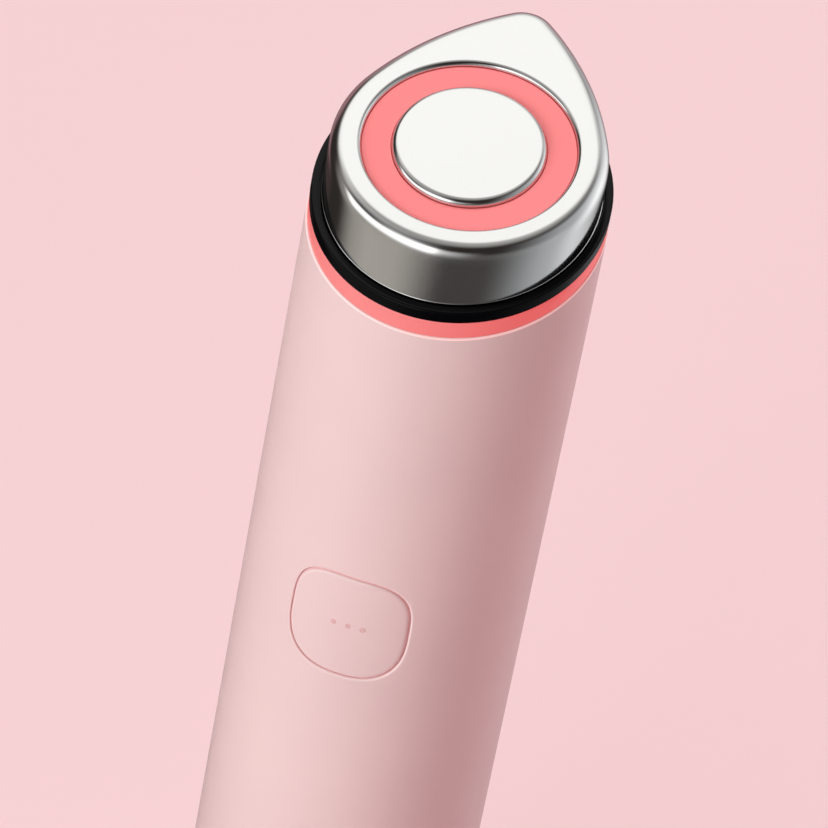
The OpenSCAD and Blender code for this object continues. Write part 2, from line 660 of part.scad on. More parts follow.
module face_leds() color("#fff4ea") for (i = [0:face_led_count - 1]) in_face(face_board_deep)
    rotate([0, 0, 360 * i / face_led_count]) translate([(disc_r + window_r) / 2 - 0.8, -1, 0]) cube([1.6, 2, led_t]);

// Flat cable from the main board's top up to the lamp board
module head_cable() color("#c98f3a") {
    low = [-board_front - cable_t - 1.6 * chip_t, cable_foot_z];
    path = [low, [low.x, plate_z - 3.2], [-3, mount_z + 1], [cable_top().x, mount_z + 14], cable_top()];
    translate([-cable_w / 2, 0, 0]) rotate([90, 0, 90]) linear_extrude(cable_w)
        polygon(concat(path, [for (i = [len(path) - 1:-1:0]) path[i] + [cable_t, 0.2 * cable_t]]));
}
// Where the cable meets the lamp board's underside, in the middle plane
function cable_top() = let (v = 7.2 - face_shift, d = face_board_deep + face_board_t + 0.15)
    [v * tilt_cos + d * sin(face_tilt), rim_h + face_up + v * sin(face_tilt) - d * tilt_cos];

handle_shell();
base_cap();
base_seal();
base_screws();
charge_port_shell();
charge_port_tongue();
charge_board();
charge_leads();
inner_frame();
main_board();
board_screws();
board_chips();
pulse_transformer();
storage_capacitors();
level_leds();
switch_body();
switch_plunger();
button_holder();
button_pad();
button_cap();
button_light_guide();
battery_cell();
battery_pad();
battery_leads();
motor_can();
motor_boot();
motor_shaft();
motor_weight();
head_mount();
mount_seal();
frame_screws();
head_screws();
light_ring();
insulator_ring();
head_shell();
electrode_carrier();
face_lens();
center_electrode();
center_contact();
face_led_board();
face_leds();
head_cable();
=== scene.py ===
import bpy, bmesh, json, math
from mathutils import Matrix, Vector


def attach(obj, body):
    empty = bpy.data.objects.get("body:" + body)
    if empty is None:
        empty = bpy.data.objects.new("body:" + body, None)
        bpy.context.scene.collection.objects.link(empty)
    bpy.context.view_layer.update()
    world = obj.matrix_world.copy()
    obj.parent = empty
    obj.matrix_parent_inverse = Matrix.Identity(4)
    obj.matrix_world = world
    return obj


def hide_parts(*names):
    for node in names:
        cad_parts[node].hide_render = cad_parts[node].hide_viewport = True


# Handheld skin booster: satin handle, lit ring, black ring, polished drop head. Sizes below are in mm.
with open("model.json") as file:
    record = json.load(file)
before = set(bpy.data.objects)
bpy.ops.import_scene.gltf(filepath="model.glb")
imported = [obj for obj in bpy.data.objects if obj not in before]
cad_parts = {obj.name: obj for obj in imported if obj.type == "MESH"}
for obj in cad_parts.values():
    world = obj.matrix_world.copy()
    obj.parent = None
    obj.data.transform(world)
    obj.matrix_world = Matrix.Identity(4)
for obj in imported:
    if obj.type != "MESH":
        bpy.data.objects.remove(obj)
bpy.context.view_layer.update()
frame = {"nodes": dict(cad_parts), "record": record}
nodes = frame["nodes"]
mm = 0.001
scene = bpy.context.scene
scene.view_settings.view_transform = "Standard"
print("frame loaded:", len(nodes), "nodes")


def direction(turn, rise):  # degrees round from the front, and up from level
    a, b = math.radians(turn), math.radians(rise)
    return Vector((math.sin(a) * math.cos(b), -math.cos(a) * math.cos(b), math.sin(b)))


# The camera stands where the photograph was taken from
cameraSetup = {"turn": 12.0, "rise": 31.973, "roll": 11.108, "distance": 622.128, "slideX": 5.361,
               "slideY": 24.509, "focalPixels": 5071.19, "framePixels": 828, "sensor": 36.0,
               "aimHeight": 134.0, "near": 10, "far": 20000}


def placeCamera():
    turn, roll = cameraSetup["turn"], math.radians(cameraSetup["roll"])
    back, right = direction(turn, cameraSetup["rise"]), direction(turn + 90, 0)
    up = back.cross(right)
    right, up = right * math.cos(roll) + up * math.sin(roll), up * math.cos(roll) - right * math.sin(roll)
    spot = back * cameraSetup["distance"] - right * cameraSetup["slideX"] - up * cameraSetup["slideY"]
    spot.z += cameraSetup["aimHeight"]
    data = bpy.data.cameras.new("photoCamera")
    data.sensor_width = cameraSetup["sensor"]
    data.lens = cameraSetup["focalPixels"] / cameraSetup["framePixels"] * cameraSetup["sensor"]
    data.clip_start, data.clip_end = cameraSetup["near"] * mm, cameraSetup["far"] * mm
    camera = bpy.data.objects.new("photoCamera", data)
    scene.collection.objects.link(camera)
    camera.matrix_world = Matrix.Translation(spot * mm) @ Matrix((right, up, back)).transposed().to_4x4()
    scene.camera = camera


placeCamera()
print("camera placed")


def linear(hexColor):  # sRGB hex to the linear values that Blender wants
    parts = [int(hexColor[i:i + 2], 16) / 255 for i in (1, 3, 5)]
    return [c / 12.92 if c <= 0.04045 else ((c + 0.055) / 1.055) ** 2.4 for c in parts] + [1.0]


def addNode(owner, kind, values=None, **settings):  # owner is a material or a world
    node = owner.node_tree.nodes.new(kind)
    for key, value in settings.items():
        setattr(node, key, value)
    for socket, value in (values or {}).items():
        if isinstance(value, tuple) and isinstance(value[0], bpy.types.Node):  # another node and its output
            owner.node_tree.links.new(value[0].outputs[value[1]], node.inputs[socket])
        else:
            node.inputs[socket].default_value = value
    return node


def newFinish(name, build):  # build adds the finish's own nodes and returns the shader's values
    material = bpy.data.materials.new(name)
    material.use_nodes = True
    material.node_tree.nodes.clear()
    shader = addNode(material, "ShaderNodeBsdfPrincipled", build(material))
    addNode(material, "ShaderNodeOutputMaterial", {"Surface": (shader, "BSDF")})
    return material


def perSize(size):  # texture scale, per metre, for a pattern whose grain is this many mm
    return 1 / (size * mm)


noiseSpan = (0.3, 0.7)  # where most of the noise's values lie


def speckle(material, size, low, high, detail=2.0, drawn=(1, 1, 1)):
    # Noise with a grain of this many mm, squeezed between two values. Drawn stretches it along an axis.
    place = addNode(material, "ShaderNodeTexCoord")
    along = addNode(material, "ShaderNodeMapping", {"Vector": (place, "Object"), "Scale": drawn})
    noise = addNode(material, "ShaderNodeTexNoise",
                    {"Vector": (along, 0), "Scale": perSize(size), "Detail": detail})
    return addNode(material, "ShaderNodeMapRange", {"Value": (noise, "Fac"), "From Min": noiseSpan[0],
                                                    "From Max": noiseSpan[1], "To Min": low, "To Max": high})


def clouded(material, look):  # a colour that drifts between two tones
    tone = speckle(material, look["drift"], 0, 1)
    tones = {0: (tone, 0), 6: linear(look["pale"]), 7: linear(look["deep"])}
    return addNode(material, "ShaderNodeMix", tones, data_type="RGBA"), 2


# Soft-touch lacquer on moulded ABS: a fine even grain takes the edge off every highlight. The real grain is
# under 0.1 mm, and is drawn coarser so that it shows.
lacquer = {"pale": "#D9BFBD", "deep": "#D5BBBA", "drift": 22.0, "grain": 0.32, "grainDepth": 0.02,
           "grainStrength": 0.05, "roughDrift": 3.0, "roughLow": 0.42, "roughHigh": 0.5, "ior": 1.47}


def softTouchLacquer(material):
    rough = speckle(material, lacquer["roughDrift"], lacquer["roughLow"], lacquer["roughHigh"])
    grain = speckle(material, lacquer["grain"], 0, 1, 4.0)
    bump = addNode(material, "ShaderNodeBump", {"Height": (grain, 0), "Strength": lacquer["grainStrength"],
                                                "Distance": lacquer["grainDepth"] * mm})
    return {"Base Color": clouded(material, lacquer), "Roughness": (rough, 0), "Normal": (bump, 0),
            "IOR": lacquer["ior"]}


# Milky polycarbonate, lit from inside: an even coral glow under a smooth skin
glowRing = {"color": "#9D7D7B", "light": "#FF1C20", "strength": 0.53, "gloss": 0.25}
glowLens = {"color": "#E27779", "light": "#FF6E70", "strength": 0.2, "gloss": 0.5}
glowSkin = {"rough": 0.28, "ior": 1.58, "drift": 9.0, "share": 0.03}


def litPolycarbonate(look):
    def build(material):
        low, high = (look["strength"] * (1 + side * glowSkin["share"]) for side in (-1, 1))
        glow = speckle(material, glowSkin["drift"], low, high)
        return {"Base Color": linear(look["color"]), "Roughness": glowSkin["rough"], "IOR": glowSkin["ior"],
                "Specular IOR Level": look["gloss"], "Emission Color": linear(look["light"]),
                "Emission Strength": (glow, 0)}
    return build


# Rose polycarbonate of the button's light guide, a shade deeper than the lacquer and faintly cloudy
guideLook = {"pale": "#D3A8A7", "deep": "#CDA2A2", "drift": 0.8, "rough": 0.42, "ior": 1.58}


def rosePolycarbonate(material):
    return {"Base Color": clouded(material, guideLook), "Roughness": guideLook["rough"],
            "IOR": guideLook["ior"]}


# Gloss black polycarbonate: deep colour, sharp reflections, a trace of polishing haze
blackLook = {"color": "#050507", "haze": 1.2, "roughLow": 0.06, "roughHigh": 0.11, "ior": 1.45,
             "gloss": 0.14}


def glossBlack(material):
    rough = speckle(material, blackLook["haze"], blackLook["roughLow"], blackLook["roughHigh"])
    return {"Base Color": linear(blackLook["color"]), "Roughness": (rough, 0), "IOR": blackLook["ior"],
            "Specular IOR Level": blackLook["gloss"]}


# Polished stainless steel: nearly a mirror, with the faint haze that a cloth wheel leaves. The wheel's real
# lines are far finer, and are drawn as a coarser cloud so that they show.
polish = {"color": "#DBDBDA", "roughLow": 0.115, "roughHigh": 0.145, "wheel": 0.5}


def polishedSteel(material):
    rough = speckle(material, polish["wheel"], polish["roughLow"], polish["roughHigh"])
    return {"Base Color": linear(polish["color"]), "Metallic": 1.0, "Roughness": (rough, 0)}


# Painted highlight along the handle's top edge: a paler lacquer colour and a faint painted glow stand in for
# the light that the edge catches from the lamps and from the lit ring on it
rimHighlightLook = {"color": "#F0D2D0", "light": "#FFB9B2", "drift": 5.0, "low": 0.14, "high": 0.18, "rough": 0.4}
# Painted shade in the seam round the button: a deeper, rosier lacquer colour with a faint painted glow stands
# in for the shade and rosy bounce light in the groove
seamShadeLook = {"color": "#DDB2B2", "light": "#E8808A", "drift": 2.0, "low": 0.02, "high": 0.03, "rough": 0.42}
# Painted highlight on the rounded edges of the seam: a paler lacquer colour stands in for the light that
# these edges catch
seamHighlightLook = {"color": "#E2CAC8", "drift": 1.5, "low": 0.38, "high": 0.46}


# Lacquer in a given colour with a faint painted glow, for the painted rim highlight and the seam's painted
# shade
def lacquerWithPaintedGlow(look):
    def build(material):
        glow = speckle(material, look["drift"], look["low"], look["high"])
        return {"Base Color": linear(look["color"]), "Roughness": look["rough"], "IOR": lacquer["ior"],
                "Emission Color": linear(look["light"]), "Emission Strength": (glow, 0)}
    return build


# Paler lacquer for the painted highlight on the seam's edges
def seamHighlightLacquer(material):
    rough = speckle(material, seamHighlightLook["drift"], seamHighlightLook["low"], seamHighlightLook["high"])
    return {"Base Color": linear(seamHighlightLook["color"]), "Roughness": (rough, 0), "IOR": lacquer["ior"]}


# Everything inside, one entry for each of the record's slots. Mottle, grain and depth are in mm, and a grain
# that is too fine to show is drawn as coarse as it needs to be. Drawn stretches a pattern along an axis, and
# cells makes pores or pads of it instead of a cloud.
innerLooks = {
    # Dull and cold, with faint flow clouds from the glass
    "frame_grey": {"name": "glassFilledNylonMoulded", "pale": "#CCCCCF", "deep": "#BEC0C5", "mottle": 5.0,
                   "rough": (0.5, 0.62), "grain": 0.3, "depth": 0.02, "ior": 1.53},
    # Off-white, a satin spark-eroded skin
    "carrier_white": {"name": "polyesterMoulded", "pale": "#E8E7E3", "deep": "#DEDCD6", "mottle": 4.0,
                      "rough": (0.38, 0.48), "grain": 0.25, "depth": 0.01, "ior": 1.55},
    # Even satin black
    "holder_dark": {"name": "blackAbsMoulded", "pale": "#2C2C2F", "deep": "#252528", "mottle": 3.0,
                    "rough": (0.4, 0.5), "grain": 0.25, "depth": 0.012, "ior": 1.54},
    # Dull black with a fine tooth
    "switch_black": {"name": "blackNylonMoulded", "pale": "#262628", "deep": "#1F1F22", "mottle": 1.5,
                     "rough": (0.45, 0.55), "grain": 0.15, "depth": 0.01, "ior": 1.53},
    # Waxy, slightly see-through looking
    "plunger_cream": {"name": "acetalMoulded", "pale": "#E4DECB", "deep": "#DCD4BE", "mottle": 1.5,
                      "rough": (0.28, 0.36), "grain": 0.3, "depth": 0.004, "ior": 1.48},
    # Fine flow lines run along the tongue
    "tongue_black": {"name": "liquidCrystalPolymerMoulded", "pale": "#1C1C1F", "deep": "#141417",
                     "mottle": 0.8, "rough": (0.35, 0.45), "grain": 0.12, "depth": 0.008, "ior": 1.6,
                     "drawn": (1, 1, 0.15)},
    # Milky, with a soft dusty sheen
    "pad_rubber": {"name": "siliconeMoulded", "pale": "#BFBBBB", "deep": "#B4AFAF", "mottle": 2.0,
                   "rough": (0.5, 0.6), "grain": 0.2, "depth": 0.008, "ior": 1.41},
    # Matt, with a bloom on it
    "seal_rubber": {"name": "nitrileRubberMoulded", "pale": "#36363A", "deep": "#2D2D31", "mottle": 2.0,
                    "rough": (0.55, 0.7), "grain": 0.18, "depth": 0.012, "ior": 1.52},
    # Matt dark grey
    "boot_rubber": {"name": "thermoplasticElastomerMoulded", "pale": "#515155", "deep": "#47474C",
                    "mottle": 2.5, "rough": (0.5, 0.64), "grain": 0.2, "depth": 0.012, "ior": 1.5},
    # Open pores between thin walls
    "foam_grey": {"name": "polyurethaneFoamCut", "pale": "#55555A", "deep": "#2B2B2F", "mottle": 0.5,
                  "rough": (0.85, 0.95), "cells": "EUCLIDEAN", "edge": (0.5, 0.2), "depth": 0.25,
                  "ior": 1.45},
    # Copper pads lift the green film
    "board_green": {"name": "greenSolderMaskPrinted", "pale": "#27764E", "deep": "#1A5E3D", "mottle": 2.6,
                    "rough": (0.22, 0.32), "cells": "CHEBYCHEV", "edge": (0.36, 0.32), "depth": 0.02,
                    "ior": 1.55},
    # The same, in white
    "board_white": {"name": "whiteSolderMaskPrinted", "pale": "#EFEFEC", "deep": "#E2E2DD", "mottle": 1.8,
                    "rough": (0.25, 0.35), "cells": "CHEBYCHEV", "edge": (0.36, 0.32), "depth": 0.02,
                    "ior": 1.55},
    # Powdery black with fine silica specks
    "chip_black": {"name": "epoxyCompoundMoulded", "pale": "#242427", "deep": "#1C1C1F", "mottle": 0.6,
                   "rough": (0.6, 0.72), "grain": 0.1, "depth": 0.01, "ior": 1.57},
    # Glossy turns lap over each other
    "coil_brown": {"name": "polyesterTapeWound", "pale": "#8A5A31", "deep": "#744621", "mottle": 0.9,
                   "rough": (0.2, 0.34), "grain": 0.5, "depth": 0.05, "ior": 1.6, "drawn": (0.12, 0.12, 1)},
    # Tight and glossy, slightly rippled
    "capacitor_blue": {"name": "vinylSleeveShrunk", "pale": "#3D4463", "deep": "#343A56", "mottle": 2.0,
                       "rough": (0.2, 0.3), "grain": 1.2, "depth": 0.04, "ior": 1.54, "drawn": (1, 1, 0.3)},
    # Clear resin over a yellowish phosphor
    "lamp_white": {"name": "clearEpoxyCast", "pale": "#F7F1E6", "deep": "#EFE3C8", "mottle": 0.5,
                   "rough": (0.12, 0.2), "grain": 0.3, "depth": 0.004, "ior": 1.54, "clear": 0.35},
    # Satin, with slight shrink ripples
    "cell_blue": {"name": "vinylWrapShrunk", "pale": "#4C79AD", "deep": "#426C9E", "mottle": 6.0,
                  "rough": (0.26, 0.36), "grain": 2.4, "depth": 0.06, "ior": 1.54, "drawn": (1, 1, 0.35)},
    # Soft satin coat
    "lead_red": {"name": "siliconeWireCoatExtruded", "pale": "#AE2C29", "deep": "#A02421", "mottle": 1.5,
                 "rough": (0.4, 0.5), "grain": 0.3, "depth": 0.006, "ior": 1.43},
    # Amber film with copper lines along it
    "cable_amber": {"name": "polyimideFilmEtched", "pale": "#C98F3F", "deep": "#A86F2A", "mottle": 0.55,
                    "rough": (0.18, 0.28), "grain": 0.55, "depth": 0.02, "ior": 1.7,
                    "drawn": (1, 0.04, 0.04)},
    # Warm, with rolled streaks
    "contact_brass": {"name": "brassStamped", "pale": "#CBA557", "deep": "#BE9748", "mottle": 0.8,
                      "rough": (0.24, 0.36), "grain": 0.25, "depth": 0.006, "metal": True,
                      "drawn": (1, 0.1, 1)},
    # Bright, drawn along the mouth
    "port_steel": {"name": "nickelPlatedSteelDrawn", "pale": "#BEC0C5", "deep": "#B4B6BB", "mottle": 1.0,
                   "rough": (0.16, 0.26), "grain": 0.2, "depth": 0.005, "metal": True, "drawn": (1, 1, 0.1)},
    # Bluish, with the small crystals of zinc
    "screw_steel": {"name": "zincPlatedSteelRolled", "pale": "#BABDC6", "deep": "#A9ACB4", "mottle": 0.35,
                    "rough": (0.26, 0.4), "grain": 0.15, "depth": 0.006, "metal": True},
    # Streaks along the can
    "motor_steel": {"name": "nickelPlatedCanDrawn", "pale": "#B8BABF", "deep": "#A9ABB1", "mottle": 1.2,
                    "rough": (0.2, 0.32), "grain": 0.25, "depth": 0.006, "metal": True,
                    "drawn": (1, 1, 0.08)},
    # Fine rings from the wheel
    "shaft_steel": {"name": "steelGround", "pale": "#CDCFD2", "deep": "#BFC1C5", "mottle": 0.3,
                    "rough": (0.12, 0.22), "grain": 0.12, "depth": 0.003, "metal": True,
                    "drawn": (0.05, 0.05, 1)},
    # Dull grains pressed together
    "weight_brass": {"name": "tungstenSintered", "pale": "#A18D5C", "deep": "#857248", "mottle": 0.4,
                     "rough": (0.4, 0.55), "grain": 0.2, "depth": 0.015, "metal": True}}


def innerSurface(look):
    def build(material):
        if "cells" in look:
            place = addNode(material, "ShaderNodeTexCoord")
            spread = {"Vector": (place, "Object"), "Scale": perSize(look["mottle"])}
            cells = addNode(material, "ShaderNodeTexVoronoi", spread, distance=look["cells"])
            near, far = look["edge"]
            walls = {"Value": (cells, "Distance"), "From Min": near, "From Max": far}
            tone = height = addNode(material, "ShaderNodeMapRange", walls)
        else:
            tone, height = (speckle(material, look[size], 0, 1, 3.0, look.get("drawn", (1, 1, 1)))
                            for size in ("mottle", "grain"))
        tones = {0: (tone, 0), 6: linear(look["pale"]), 7: linear(look["deep"])}
        color = addNode(material, "ShaderNodeMix", tones, data_type="RGBA")
        low, high = look["rough"]
        rough = addNode(material, "ShaderNodeMapRange", {"Value": (height, 0), "To Min": low, "To Max": high})
        bump = addNode(material, "ShaderNodeBump", {"Height": (height, 0), "Strength": 0.5,
                                                    "Distance": look["depth"] * mm})
        values = {"Base Color": (color, 2), "Roughness": (rough, 0), "Normal": (bump, 0)}
        if look.get("metal"):
            values["Metallic"] = 1.0
        else:
            values["IOR"] = look["ior"]
        if "clear" in look:
            values["Transmission Weight"] = look["clear"]
        return values
    return build


# One finish for each of the record's slots, and three of painted light and shade on parts of the lacquered
# pieces: a highlight along the rim, shade in the seam round the button, and highlights on the seam's edges
finishes = {"shell_pink": newFinish("softTouchLacquer", softTouchLacquer),
            "light_coral": newFinish("litRingPolycarbonate", litPolycarbonate(glowRing)),
            "lens_coral": newFinish("litLensPolycarbonate", litPolycarbonate(glowLens)),
            "guide_pink": newFinish("rosePolycarbonate", rosePolycarbonate),
            "insulator_black": newFinish("glossBlackPolycarbonate", glossBlack),
            "head_metal": newFinish("polishedStainlessSteel", polishedSteel),
            "rimHighlight": newFinish("rimHighlightLacquer", lacquerWithPaintedGlow(rimHighlightLook)),
            "seamShade": newFinish("seamShadeLacquer", lacquerWithPaintedGlow(seamShadeLook)),
            "seamHighlight": newFinish("seamHighlightLacquer", seamHighlightLacquer)}
for slotName, innerLook in innerLooks.items():
    finishes[slotName] = newFinish(innerLook["name"], innerSurface(innerLook))
print("finishes made:", len(finishes))


weld = 0.0005  # corners nearer to each other than this are one


def meshObject(name, bm):  # ends a bmesh in mm as an object in metres
    bmesh.ops.scale(bm, vec=(mm, mm, mm), verts=bm.verts)
    mesh = bpy.data.meshes.new(name)
    bm.to_mesh(mesh)
    bm.free()
    made = bpy.data.objects.new(name, mesh)
    scene.collection.objects.link(made)
    return made


replacedNodes = set()


def newPiece(name, bm, body, node, slot, sharp=30):  # edges that turn by more than sharp degrees stay crisp
    bmesh.ops.remove_doubles(bm, verts=bm.verts, dist=weld)
    bmesh.ops.recalc_face_normals(bm, faces=bm.faces)
    for face in bm.faces:
        face.smooth = True
    for edge in bm.edges:
        edge.smooth = edge.calc_face_angle(0) < math.radians(sharp)
    openEdges = sum(1 for edge in bm.edges if not edge.is_manifold)
    piece = meshObject(name, bm)
    piece.data.materials.append(finishes[slot])
    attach(piece, body)
    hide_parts(node)
    replacedNodes.add(node)
    print("made", name, len(piece.data.polygons), "faces, open edges", openEdges)
    return piece


def growRing(bm, edges, place):  # one more ring of faces, each new corner moved to where place puts it
    grown = bmesh.ops.extrude_edge_only(bm, edges=edges)["geom"]
    for vert in (item for item in grown if isinstance(item, bmesh.types.BMVert)):
        vert.co = place(vert)
    fresh = set(grown)
    return [item for item in grown if isinstance(item, bmesh.types.BMEdge) and fresh.issuperset(item.verts)]


def spinProfile(profile, steps=256):  # closed profile of (radius, height) turned into a ring
    bm = bmesh.new()
    verts = [bm.verts.new((radius, 0, height)) for radius, height in profile]
    edges = [bm.edges.new((vert, verts[i - 1])) for i, vert in enumerate(verts)]
    bmesh.ops.spin(bm, geom=verts + edges, cent=(0, 0, 0), axis=(0, 0, 1), dvec=(0, 0, 0), angle=2 * math.pi,
                   steps=steps, use_merge=True)
    bmesh.ops.remove_doubles(bm, verts=bm.verts, dist=weld)
    bmesh.ops.recalc_face_normals(bm, faces=bm.faces)
    return bm


def quarterTurn(steps):  # angles from 0 to a right angle
    return [math.pi / 2 * step / steps for step in range(steps + 1)]


def roundEdges(bm, size, segments=4, sharper=45, pick=lambda edge: True):
    edges = [edge for edge in bm.edges if edge.calc_face_angle(0) > math.radians(sharper) and pick(edge)]
    bmesh.ops.bevel(bm, geom=edges, offset=size, segments=segments, profile=0.5, affect="EDGES", material=-1)


# The slanted stack: the height of the rim's middle, the face's height above it, and how far the middle of the
# face slips down the slant
stack = {"rim": 134.0, "slant": 21.0, "faceUp": 10.75, "faceShift": 1.05}
slant = math.radians(stack["slant"])
faceMatrix = (Matrix.Translation((0, 0, stack["rim"] + stack["faceUp"])) @ Matrix.Rotation(slant, 4, "X")
              @ Matrix.Translation((0, -stack["faceShift"], 0)))


def leanOver(bm):
    for vert in bm.verts:
        vert.co.z += stack["rim"] + vert.co.y * math.tan(slant)


# The push button is flatter above than below. Extra sizes grow its outline, deep ones go down from the wall,
# and one of them is how deep the seam's painted shade reaches.
button = {"height": 82.95, "halfWidth": 7.57, "halfHeight": 7.17, "topSquare": 3.3, "footSquare": 2.75,
          "gap": 0.14, "edge": 0.34, "skin": 1.6, "lip": 0.1, "lipDeep": 0.35, "flange": 1.2,
          "flangeDeep": 2.15, "flangeFoot": 3.05, "shadeFoot": 1.5, "reach": 9, "corners": 128,
          "topStart": 0.97, "topRings": 12, "innerShares": (1, 0.7, 0.4, 0.1)}
# The last five sizes mark where light and shade are painted on the lacquer: the seam's highlight and shade
# round the button, and the highlight along the top edge
handle = {"radius": 18.5, "bore": 16.5, "foot": 2.2, "sheetTop": 152, "columns": 192, "rows": 40,
          "holeCells": 16, "weld": 0.001, "skinDepth": 0.05, "edge": 0.18, "openingEdge": 0.46,
          "edgeDepth": 0.03, "shadeDepth": 0.2, "shadeFoot": 1.9, "rimHighlight": 0.17, "rimIn": 0.2}


def buttonOutline(angle, extra):
    square = button["topSquare"] if math.sin(angle) > 0 else button["footSquare"]
    reach = (abs(math.cos(angle) / (button["halfWidth"] + extra)) ** square
             + abs(math.sin(angle) / (button["halfHeight"] + extra)) ** square) ** (-1 / square)
    return reach * math.cos(angle), reach * math.sin(angle)


def nearButton(co):
    return co.y < 0 and abs(co.z - button["height"]) < button["reach"]


def paintFaces(piece, finish, pick):
    piece.data.materials.append(finishes[finish])
    for face in piece.data.polygons:
        if pick(face.center / mm):
            face.material_index = len(piece.data.materials) - 1


def paintSeam(piece, shadeFoot):  # painted shade on the seam's walls, painted highlight on the rounding above them
    shaded = ("seamShade", handle["shadeDepth"], shadeFoot)
    litEdge = ("seamHighlight", handle["edgeDepth"], handle["shadeDepth"])
    for finish, start, end in (shaded, litEdge):
        paintFaces(piece, finish, lambda co: nearButton(co) and end > handle["radius"] - co.xy.length > start)


def wallSheet(bm, began, radius):  # a sheet round the handle with the button's opening in it, still unrolled
    columns, rows, half = handle["columns"], handle["rows"], handle["holeCells"]
    cell = 2 * math.pi / columns
    step = handle["radius"] * cell
    grid = bmesh.ops.create_grid(bm, x_segments=columns, y_segments=rows, size=0.5)["verts"]
    for vert in grid:
        vert.co = Vector((vert.co.x * 2 * math.pi, vert.co.y * rows * step, radius))

    def within(co, cells):  # in the patch of so many cells round the middle
        return abs(co.x) < cells * cell and abs(co.y) < cells * step

    faces = {face for vert in grid for face in vert.link_faces}
    patch = [face for face in faces if within(face.calc_center_median(), half)]
    bmesh.ops.delete(bm, geom=patch, context="FACES")
    mine = {vert for vert in grid if vert.is_valid}
    rims = [edge for edge in bm.edges if len(edge.link_faces) == 1 and mine.issuperset(edge.verts)]
    hole = [edge for edge in rims if all(within(vert.co, half + 0.5) for vert in edge.verts)]
    end = (rows / 2 - 0.5) * step
    top = [edge for edge in rims if all(vert.co.y > end for vert in edge.verts)]
    foot = [edge for edge in rims if all(vert.co.y < -end for vert in edge.verts)]
    for vert in {vert for edge in hole for vert in edge.verts}:
        vert[began] = vert.co

    def shrink(share):  # from the square hole towards the opening's outline
        def place(vert):
            start = vert[began].copy()
            x, y = buttonOutline(math.atan2(start.y, start.x * handle["radius"]), button["gap"])
            return start.lerp(Vector((math.asin(x / radius), y, radius)), share)
        return place

    for share in (1 / 3, 2 / 3, 1):
        hole = growRing(bm, hole, shrink(share))
    growRing(bm, top, lambda vert: Vector((vert.co.x, handle["sheetTop"] - button["height"], radius)))
    foot = growRing(bm, foot, lambda vert: Vector((vert.co.x, handle["foot"] - button["height"], radius)))
    return hole, foot


def makeHandle():
    bm = bmesh.new()
    began = bm.verts.layers.float_vector.new("began")
    outerHole, outerFoot = wallSheet(bm, began, handle["radius"])
    innerHole, innerFoot = wallSheet(bm, began, handle["bore"])
    bmesh.ops.bridge_loops(bm, edges=outerHole + innerHole)
    bmesh.ops.bridge_loops(bm, edges=outerFoot + innerFoot)
    for vert in bm.verts:  # roll the sheets up
        turn, height, radius = vert.co
        vert.co = Vector((radius * math.sin(turn), -radius * math.cos(turn), height + button["height"]))
    bmesh.ops.remove_doubles(bm, verts=bm.verts, dist=handle["weld"])
    everything = bm.verts[:] + bm.edges[:] + bm.faces[:]
    cut = bmesh.ops.bisect_plane(bm, geom=everything, dist=0.0001, plane_co=(0, 0, stack["rim"]),
                                 plane_no=(0, -math.sin(slant), math.cos(slant)), clear_outer=True)
    cutEdges = [item for item in cut["geom_cut"] if isinstance(item, bmesh.types.BMEdge)]
    bmesh.ops.bridge_loops(bm, edges=cutEdges)
    bmesh.ops.recalc_face_normals(bm, faces=bm.faces)

    def atOpening(edge):
        skin = handle["radius"] - handle["skinDepth"]
        return all(nearButton(vert.co) and vert.co.xy.length > skin for vert in edge.verts)

    # The band of faces along the top edge that gets the painted rim highlight
    def onRim(co):
        lean = stack["rim"] + co.y * math.tan(slant)
        return co.xy.length > handle["radius"] - handle["rimIn"] and co.z > lean - handle["rimHighlight"]

    roundEdges(bm, handle["openingEdge"], segments=5, sharper=60, pick=atOpening)
    roundEdges(bm, handle["edge"], segments=3, sharper=60)
    shell = newPiece("handleShell", bm, "wand", "handle_shell", "shell_pink")
    # Painted highlight along the top edge, then painted shade and highlights in the seam round the button
    paintFaces(shell, "rimHighlight", onRim)
    paintSeam(shell, handle["shadeFoot"])


def makeButton():
    bm = bmesh.new()
    angle = bm.verts.layers.float.new("angle")
    ring = bmesh.ops.create_circle(bm, segments=button["corners"], radius=1)["verts"]

    def onWall(extra, deep, share=1.0):  # on the grown outline or a share of it, this deep in the wall
        def place(vert):
            x, z = (share * c for c in buttonOutline(vert[angle], extra))
            return Vector((x, -math.sqrt((handle["radius"] - deep) ** 2 - x * x), z + button["height"]))
        return place

    skin, edge, lip, lipDeep = button["skin"], button["edge"], button["lip"], button["lipDeep"]
    flange, flangeDeep, flangeFoot = button["flange"], button["flangeDeep"], button["flangeFoot"]
    for vert in ring:
        vert[angle] = math.atan2(vert.co.y, vert.co.x)
        vert.co = onWall(-skin, flangeFoot)(vert)
    first = bm.edges[:]
    # Each ring as its extra size, its depth in the wall, and its share of the way out from the middle
    outside = [(flange, flangeFoot, 1), (flange, flangeDeep, 1), (lip, flangeDeep, 1), (lip, lipDeep, 1),
               (0, lipDeep, 1), (0, edge, 1)]
    outside += [(-edge * (1 - math.cos(turn)), edge * (1 - math.sin(turn)), 1) for turn in quarterTurn(5)[1:]]
    outside += [(-edge, 0, button["topStart"])]
    outside += [(-edge, 0, step / button["topRings"]) for step in range(button["topRings"] - 1, 0, -1)]
    inside = [(-skin, skin, share) for share in button["innerShares"]]
    for path in (outside, inside):
        edges = first
        for extra, deep, share in path:
            edges = growRing(bm, edges, onWall(extra, deep, share))
        bmesh.ops.edgenet_fill(bm, edges=edges)
    cap = newPiece("buttonCap", bm, "button", "button_cap", "shell_pink")
    # Painted shade and highlights in the seam round the button
    paintSeam(cap, button["shadeFoot"])
    drillPins(cap)


